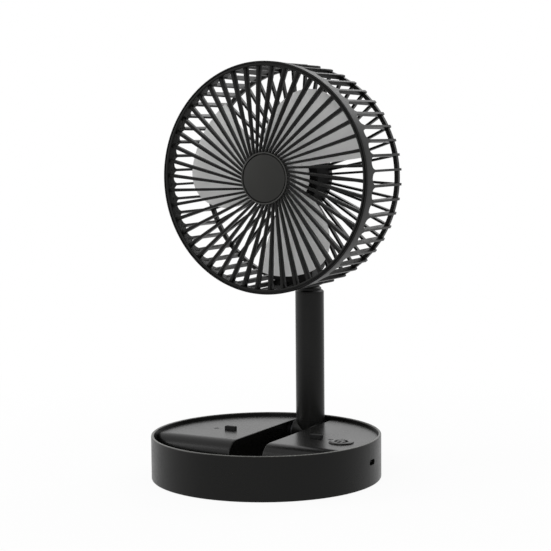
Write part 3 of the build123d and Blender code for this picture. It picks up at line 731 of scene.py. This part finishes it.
@dataclass
class Base(Assembly):
    """The dish, its deck and what is under it."""

    finishes: Mapping[str, Finish] = field(default_factory=lambda: {
        "base_shell": Finish.SHELL,
        "base_deck": Finish.DECK,
        "rubber_feet": Finish.RUBBER,
        "deck_bumpers": Finish.RUBBER,
        "circuit_board": Finish.BOARD,
        "push_switch": Finish.DRUM,
        "charge_socket": Finish.SOCKET,
        "battery_cells": Finish.CELL,
        "battery_cradles": Finish.CAGE,
        "post_hinge_bracket": Finish.BRACKET,
        "post_hinge_pin": Finish.PIN,
        "post_hinge_washers": Finish.NYLON,
    })
    deck_top: float = 0.0335
    screw_places: Sequence[Pair] = (
        (-0.0545, 0.0108), (0.0545, 0.0108), (-0.022, 0.0835), (0.022, 0.0835)
    )
    screw_below: float = 0.00015
    screw_first_turn: float = 0.4
    screw_turn_step: float = 0.9
    button_centre: Pair = (0.06745, 0.004)
    cap_radius: float = 0.0100
    cap_rise: float = 0.0013
    cap_crown: float = 0.0003
    cap_round: float = 0.0005
    cap_skirt: float = 0.00275
    flange_height: float = 0.0010
    stem_radius: float = 0.00175
    mark_radius: float = 0.0046
    mark_width: float = 0.0023
    mark_height: float = 0.00004
    mark_thickness: float = 0.00016
    mark_gap: float = 80.0
    mark_steps: int = 56
    bar_start: float = 0.0008
    bar_end: float = 0.0062
    bar_rounding: float = 0.45
    tongue_half: float = 0.00035
    tongue_inset: float = 0.0012
    contact_count: int = 6
    contact_pitch: float = 0.00095
    contact_width: float = 0.0005
    contact_length: float = 0.0030
    contact_height: float = 0.00004
    contact_rounding: float = 0.4

    @property
    def cap_top(self) -> float:
        """Return the height of the button's middle."""
        return self.deck_top + self.cap_rise

    def build(self) -> None:
        """Add the deck's screws, the button with its mark, and the socket's contacts."""
        self.screws()
        self.button()
        self.mark()
        self.contacts()

    def screws(self) -> bpy.types.Object:
        """Build the four screws that hold the deck down.

        Returns:
            The screws, as one piece.
        """
        work = CrossScrew().build()
        places = []
        for count, (x, y) in enumerate(self.screw_places):
            turn = self.screw_first_turn + self.screw_turn_step * count
            seat = Matrix.Translation((x, y, self.deck_top - self.screw_below))
            places.append(seat @ Matrix.Rotation(turn, 4, "Z"))
        work.repeat(places)
        return work.piece("deck_screws", "base", "bracket_metal", Finish.SCREW)

    def button(self) -> bpy.types.Object:
        """Build the button: a crowned cap that stands proud of the deck, a flange and a stem.

        Returns:
            The button, in place of its solid.
        """
        low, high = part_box("power_button")
        flange = (high.x - low.x) / 2
        flange_top = self.deck_top - self.cap_skirt
        flange_bottom = flange_top - self.flange_height
        work = Workpiece()
        corners = work.outline((
            (0.0, low.z), (self.stem_radius, low.z),
            (self.stem_radius, flange_bottom), (flange, flange_bottom),
            (flange, flange_top), (self.cap_radius, flange_top),
            (self.cap_radius, self.cap_top - self.cap_crown), (0.0, self.cap_top),
        ))
        work.ease(corners[6:7], self.cap_round, segments=4)
        work.turn()
        work.move(Matrix.Translation((*self.button_centre, 0.0)))
        made = work.piece("button_cap", "button", "deck_plastic", Finish.BUTTON)
        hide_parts("power_button")
        return made

    def mark(self) -> bpy.types.Object:
        """Build the button's power mark: an open ring and a bar, bent over the button's crown.

        Returns:
            The mark.
        """
        work = Workpiece()
        start = math.radians(270 + self.mark_gap / 2)
        bmesh.ops.create_grid(
            work.mesh, x_segments=1, y_segments=1, size=0.5,
            matrix=Matrix.Rotation(start, 4, "Z")
            @ Matrix.Translation((self.mark_radius, 0.0, 0.0))
            @ Matrix.Diagonal((self.mark_width, 1.0, self.mark_thickness, 1.0))
            @ Matrix.Rotation(math.pi / 2, 4, "X"),
        )
        bmesh.ops.spin(
            work.mesh, geom=work.everything(), cent=(0.0, 0.0, 0.0), axis=(0.0, 0.0, 1.0),
            angle=math.radians(360 - self.mark_gap), steps=self.mark_steps,
            use_merge=False, use_duplicate=False,
        )
        bar = work.block(
            (self.mark_width, self.bar_end - self.bar_start, self.mark_thickness),
            (0.0, -(self.bar_start + self.bar_end) / 2, 0.0),
        )
        upright = [
            edge for edge in work.mesh.edges
            if abs(edge.verts[0].co.z - edge.verts[1].co.z) > self.mark_thickness / 2
            and all(vert in bar for vert in edge.verts)
        ]
        work.soften(upright, self.mark_width * self.bar_rounding, segments=4)
        middle = self.cap_top + self.mark_height - self.mark_thickness / 2
        for vert in work.mesh.verts:
            vert.co.z += middle - self.cap_crown * vert.co.xy.length / self.cap_radius
        work.move(Matrix.Translation((*self.button_centre, 0.0)))
        return work.piece("button_mark", "button", "rubber", Finish.MARK)

    def contacts(self) -> bpy.types.Object:
        """Build the gold contacts on both faces of the charging socket's tongue.

        Returns:
            The contacts, as one piece.
        """
        low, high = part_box("charge_socket")
        middle = (low + high) / 2
        along = high.x - self.tongue_inset - self.contact_length / 2
        size = (self.contact_length, self.contact_width, 2 * self.contact_height)
        work = Workpiece()
        for side in (-1.0, 1.0):
            for count in range(self.contact_count):
                across = (count - (self.contact_count - 1) / 2) * self.contact_pitch
                work.block(size, (along, middle.y + across, middle.z + side * self.tongue_half))
        work.soften(work.mesh.edges[:], self.contact_height * self.contact_rounding, segments=1)
        return work.piece("socket_contacts", "base", "bush_brass", Finish.GOLD)


@dataclass
class Post(Assembly):
    """The telescopic post between the two hinges."""

    finishes: Mapping[str, Finish] = field(default_factory=lambda: {
        "post_knuckle": Finish.POST,
        "outer_tube": Finish.POST,
        "outer_collar": Finish.CAGE,
        "middle_tube": Finish.POST,
        "middle_glide": Finish.NYLON,
        "middle_collar": Finish.CAGE,
        "inner_tube": Finish.POST,
        "inner_glide": Finish.NYLON,
        "neck": Finish.CAGE,
        "head_hinge_pin": Finish.PIN,
        "head_hinge_washers": Finish.NYLON,
        "head_hinge_caps": Finish.CAGE,
    })


@dataclass
class Head(Assembly):
    """The caged head and its bracket."""

    finishes: Mapping[str, Finish] = field(default_factory=lambda: {
        "head_bracket": Finish.CAGE,
        "rear_cage": Finish.CAGE,
        "motor_housing": Finish.DRUM,
        "motor_cover": Finish.CAGE,
        "motor_can": Finish.MOTOR,
        "motor_bush": Finish.BRASS,
    })
    plate_stand: float = 0.00285
    screw_stand: float = 0.0013
    screw_across: float = 0.0114
    screw_spread: float = 0.013
    screw_first_turn: float = 0.3
    screw_side_turn: float = 1.0
    screw_row_turn: float = 0.7

    def build(self) -> None:
        """Add the screws that hold the bracket on the cage."""
        low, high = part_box("head_hinge_pin")
        middle = (low.z + high.z) / 2
        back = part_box("rear_cage")[1].y + self.plate_stand + self.screw_stand
        facing = Matrix.Rotation(-math.pi / 2, 4, "X")
        work = CrossScrew().build()
        places = []
        for side in (-1, 1):
            for row in (-1, 1):
                turn = side * self.screw_side_turn + row * self.screw_row_turn
                spun = Matrix.Rotation(self.screw_first_turn + turn, 4, "Z")
                place = (side * self.screw_across, back, middle + row * self.screw_spread)
                places.append(Matrix.Translation(place) @ facing @ spun)
        work.repeat(places)
        work.piece("bracket_screws", "head", "bracket_metal", Finish.SCREW)


@dataclass
class Grille(Assembly):
    """The head's front: a seamed ring, bars that pass the axis at a distance, and a capped hub.

    Heights are along the head's axis, below the ring's front.
    """

    ring_width: float = 0.0040
    ring_depth: float = 0.0056
    ring_round: float = 0.0009
    ring_steps: int = 192
    seam_land: float = 0.0019
    seam_width: float = 0.0009
    seam_depth: float = 0.0012
    seam_round: float = 0.00012
    bar_count: int = 46
    bar_first: float = 1.5
    bar_lean: float = 0.00825
    bar_widths: Pair = (0.0019, 0.0026)
    bar_round: float = 0.0003
    bar_ends: Pair = (0.01924, 0.0909)
    bar_fronts: Pair = (0.0042, 0.0024)
    bar_depths: Pair = (0.0022, 0.0058)
    hub_radius: float = 0.0214
    hub_front: float = 0.0034
    hub_back: float = 0.0088
    hub_floor: float = 0.0066
    rim_width: float = 0.0011
    rim_height: float = 0.0008
    rim_round: float = 0.0003
    cover_gap: float = 0.0008
    cover_front: float = 0.0037
    cover_round: float = 0.0004

    @property
    def bore(self) -> float:
        """Return the radius of the hub's cup inside."""
        return self.hub_radius - self.rim_width

    @property
    def ledge(self) -> float:
        """Return the height of the cup's edge, on which the trim ring sits."""
        return self.hub_front + self.rim_height

    def build(self) -> None:
        """Build the grille, the hub's trim and the hub's cover, in place of two solids."""
        low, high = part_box("front_grille")
        facing = Matrix.Rotation(math.pi / 2, 4, "X")
        seat = Matrix.Translation((0.0, low.y, (low.z + high.z) / 2)) @ facing
        grille, trim, cover = self.ring((high.x - low.x) / 2), self.trim(), self.cover()
        grille.join(self.bars())
        grille.join(self.hub())
        for work in (grille, trim, cover):
            work.move(seat)
        made = grille.piece("grille", "head", "black_plastic", Finish.CAGE)
        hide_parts("front_grille")
        # The trim ring takes the lighter colour as a painted highlight.
        trim.piece("hub_trim", "head", "hub_plastic", Finish.TRIM_PAINTED_HIGHLIGHT)
        made = cover.piece("hub_cover", "head", "hub_plastic", Finish.HUB)
        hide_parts("hub_disc")

    def ring(self, outer: float) -> Workpiece:
        """Build the ring with the seam in its face.

        Args:
            outer: The ring's outer radius.

        Returns:
            The ring, round the Z axis.
        """
        inner = outer - self.ring_width
        seam = inner + self.seam_land
        seam_end = seam + self.seam_width
        work = Workpiece()
        corners = work.outline((
            (inner, -self.ring_depth), (outer, -self.ring_depth), (outer, 0.0),
            (seam_end, 0.0), (seam_end, -self.seam_depth), (seam, -self.seam_depth),
            (seam, 0.0), (inner, 0.0),
        ))
        edges, lips = (corners[2], corners[7]), (corners[3], corners[6])
        work.ease(edges, self.ring_round, segments=5)
        work.ease(lips, self.seam_round, segments=2)
        work.turn(self.ring_steps)
        return work

    def bars(self) -> Workpiece:
        """Build the straight bars, deeper at the ring than at the hub.

        Returns:
            The bars, round the Z axis.
        """
        work = Workpiece()
        start, end = self.bar_ends
        middle = (start + end) / 2
        bar = work.block((end - start, 1.0, 1.0), (middle, 0.0, 0.0))
        inside = [vert for vert in bar if vert.co.x < middle]
        outside = [vert for vert in bar if vert.co.x > middle]
        for verts, width, front, depth in zip(
            (inside, outside), self.bar_widths, self.bar_fronts, self.bar_depths
        ):
            bmesh.ops.scale(work.mesh, verts=verts, vec=(1.0, width, depth))
            shift = (0.0, self.bar_lean, -front - depth / 2)
            bmesh.ops.translate(work.mesh, verts=verts, vec=shift)
        along = [
            edge for edge in work.mesh.edges
            if abs(edge.verts[0].co.x - edge.verts[1].co.x) > (end - start) / 2
        ]
        work.soften(along, self.bar_round, segments=2)
        work.repeat([
            Matrix.Rotation(math.radians(self.bar_first + 360 * count / self.bar_count), 4, "Z")
            for count in range(self.bar_count)
        ])
        return work

    def hub(self) -> Workpiece:
        """Build the hub's cup.

        Returns:
            The cup, round the Z axis.
        """
        work = Workpiece()
        work.outline((
            (0.0, -self.hub_back), (self.hub_radius, -self.hub_back),
            (self.hub_radius, -self.ledge), (self.bore, -self.ledge),
            (self.bore, -self.hub_floor), (0.0, -self.hub_floor),
        ))
        work.turn()
        return work

    def trim(self) -> Workpiece:
        """Build the trim ring on the cup's edge, coloured lighter as a painted highlight.

        Returns:
            The trim ring, round the Z axis.
        """
        work = Workpiece()
        corners = work.outline((
            (self.bore, -self.ledge), (self.hub_radius, -self.ledge),
            (self.hub_radius, -self.hub_front), (self.bore, -self.hub_front),
        ))
        work.ease(corners[2:], self.rim_round, segments=3)
        work.turn()
        return work

    def cover(self) -> Workpiece:
        """Build the plain cover in the hub's cup.

        Returns:
            The cover, round the Z axis.
        """
        radius = self.bore - self.cover_gap
        work = Workpiece()
        corners = work.outline((
            (0.0, -self.hub_floor), (radius, -self.hub_floor),
            (radius, -self.cover_front), (0.0, -self.cover_front),
        ))
        work.ease(corners[2:3], self.cover_round, segments=4)
        work.turn()
        return work


@dataclass
class Impeller(Assembly):
    """The blades on the motor's shaft."""

    finishes: Mapping[str, Finish] = field(default_factory=lambda: {
        "impeller": Finish.BLADE,
        "motor_shaft": Finish.PIN,
        "impeller_nut": Finish.BLADE,
    })


@dataclass
class PhotoCamera:
    """The camera of the photograph, placed from the object's own outline."""

    azimuth: float = 29.5
    elevation: float = 12.71
    distance: float = 1.3
    pan: float = 0.400
    pitch: float = -5.365
    roll: float = -0.503
    focal_pixels: float = 1554.3
    image_pixels: float = 551.0
    sensor: float = 36.0

    def build(self) -> bpy.types.Object:
        """Add the camera and make it the scene's own.

        Returns:
            The camera.
        """
        lift, pan, pitch, roll = (
            math.radians(angle) for angle in (self.elevation, self.pan, self.pitch, self.roll)
        )
        place = Vector((0.0, -math.cos(lift), math.sin(lift))) * self.distance
        ahead = Vector((
            math.sin(pan) * math.cos(pitch), math.cos(pan) * math.cos(pitch), math.sin(pitch)
        ))
        level = ahead.cross(Vector((0.0, 0.0, 1.0))).normalized()
        upright = level.cross(ahead)
        right = math.cos(roll) * level + math.sin(roll) * upright
        above = math.cos(roll) * upright - math.sin(roll) * level
        facing = Matrix((right, above, -ahead)).transposed().to_4x4()
        data = bpy.data.cameras.new("photo_camera")
        data.sensor_width = self.sensor
        data.lens = self.focal_pixels / self.image_pixels * self.sensor
        made = set_down("photo_camera", data)
        turn = Matrix.Rotation(math.radians(self.azimuth), 4, "Z")
        made.matrix_world = turn @ Matrix.Translation(place) @ facing
        bpy.context.scene.camera = made
        return made


@dataclass(frozen=True)
class SoftBox:
    """One soft lamp of the studio."""

    name: str
    place: Triple
    size: Pair
    watts: float


@dataclass
class Studio:
    """A pale floor, a white surround and soft lamps."""

    floor_radius: float = 9.0
    floor_segments: int = 64
    floor_tone: float = 0.86
    glow_near: float = 0.93
    glow_fade: Pair = (0.16, 0.60)
    surround: float = 0.62
    aim: Triple = (0.0, 0.02, 0.16)
    lamps: Sequence[SoftBox] = (
        SoftBox("key_lamp", (0.35, -1.75, 1.0), (0.9, 0.9), 10.0),
        SoftBox("fill_lamp", (-1.6, -0.9, 0.9), (1.0, 1.4), 14.0),
        SoftBox("back_lamp", (0.2, 1.6, 1.4), (1.6, 0.8), 9.0),
    )

    def build(self) -> None:
        """Build the whole studio."""
        self.floor()
        self.world()
        for lamp in self.lamps:
            self.lamp(lamp)

    def seen(self, recipe: Recipe) -> Field:
        """Tell what is seen from what only lights.

        Args:
            recipe: The recipe of the floor or of the world.

        Returns:
            1 for rays from the camera or off gloss and glass, and 0 for the light itself.
        """
        rays = recipe.node("ShaderNodeLightPath").outputs
        camera = Field(recipe, rays["Is Camera Ray"])
        gloss = Field(recipe, rays["Is Glossy Ray"])
        return camera.larger(gloss).larger(Field(recipe, rays["Is Transmission Ray"]))

    def floor(self) -> bpy.types.Object:
        """Build the floor: white where it is seen far off, with the fan's own shadow near it.

        Returns:
            The floor.
        """
        material, recipe = started("floor_paper")
        far = recipe.node("ShaderNodeVectorMath", {"operation": "LENGTH"}, {0: recipe.place()})
        fade = Field(recipe, far.outputs["Value"]).between(*self.glow_fade)
        glow = self.glow_near + (1 - self.glow_near) * fade
        matt = recipe.node("ShaderNodeBsdfDiffuse", None, {"Color": tinted(WHITE, self.floor_tone)})
        white = recipe.node("ShaderNodeEmission", None, {"Strength": 1.0})
        mixed = recipe.node(
            "ShaderNodeMixShader", None,
            {0: self.seen(recipe) * glow, 1: matt.outputs[0], 2: white.outputs[0]},
        )
        recipe.fill(recipe.output.inputs["Surface"], mixed.outputs[0])
        work = Workpiece()
        work.circle(self.floor_radius, self.floor_segments)
        data = work.settle("floor")
        data.materials.append(material)
        made = set_down("floor", data)
        return made

    def world(self) -> None:
        """Light the scene softly from all round, and show white to the camera and to gloss."""
        world = bpy.data.worlds.new("studio")
        world.use_nodes = True
        bpy.context.scene.world = world
        recipe = Recipe(world.node_tree)
        level = self.surround + (1 - self.surround) * self.seen(recipe)
        sky = recipe.node("ShaderNodeBackground", None, {"Color": WHITE, "Strength": level})
        recipe.fill(recipe.output.inputs["Surface"], sky.outputs[0])

    def lamp(self, box: SoftBox) -> bpy.types.Object:
        """Add one soft lamp that points at the fan.

        Args:
            box: The lamp's place, size and power.

        Returns:
            The lamp.
        """
        data = bpy.data.lights.new(box.name, "AREA")
        data.shape = "RECTANGLE"
        data.size, data.size_y = box.size
        data.energy = box.watts
        made = set_down(box.name, data)
        made.location = box.place
        ahead = Vector(self.aim) - Vector(box.place)
        made.rotation_euler = ahead.to_track_quat("-Z", "Y").to_euler()
        return made


def main() -> None:
    """Build the camera, the studio and the fan's assemblies in order."""
    logging.basicConfig(level=logging.INFO, format="%(message)s")
    bpy.context.scene.view_settings.view_transform = "Standard"
    PhotoCamera().build()
    Studio().build()
    for assembly in (Base(), Post(), Head(), Grille(), Impeller()):
        assembly.dress()
        assembly.build()


if __name__ == "__main__":
    main()
